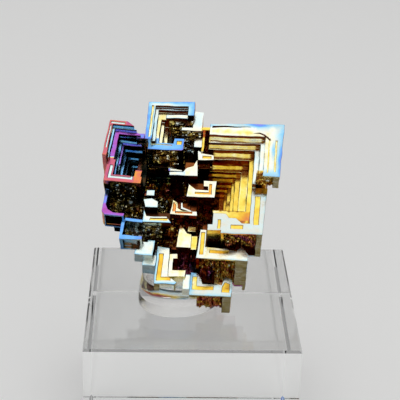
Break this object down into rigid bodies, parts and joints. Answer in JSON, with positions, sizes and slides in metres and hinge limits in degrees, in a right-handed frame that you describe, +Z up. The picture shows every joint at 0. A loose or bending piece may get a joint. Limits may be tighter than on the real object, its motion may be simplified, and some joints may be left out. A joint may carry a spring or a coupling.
{
  "type": "bismuth hopper crystal on an acrylic display block",
  "caption": "Hopper crystal of bismuth with stepped square pits and a rainbow oxide film, fixed with clear adhesive to a clear acrylic block.",
  "frame": {"origin": "middle of the acrylic block's underside", "axes": "+Z up, +X to the right and +Y away from the viewer as the crystal's face is looked at; the block's sides lie along X and Y"},
  "size_m": [0.0382, 0.0382, 0.0614],
  "materials": {
    "bismuth_oxide_film": "mirror-bright metal under a rainbow oxide film: silver, gold, magenta, purple and blue",
    "clear_adhesive": "clear, smooth, slightly milky",
    "clear_acrylic": "clear, polished faces"
  },
  "bodies": {
    "root": {"bismuth_crystal": "bismuth_oxide_film", "adhesive_mound": "clear_adhesive", "acrylic_block": "clear_acrylic"}
  },
  "joints": []
}
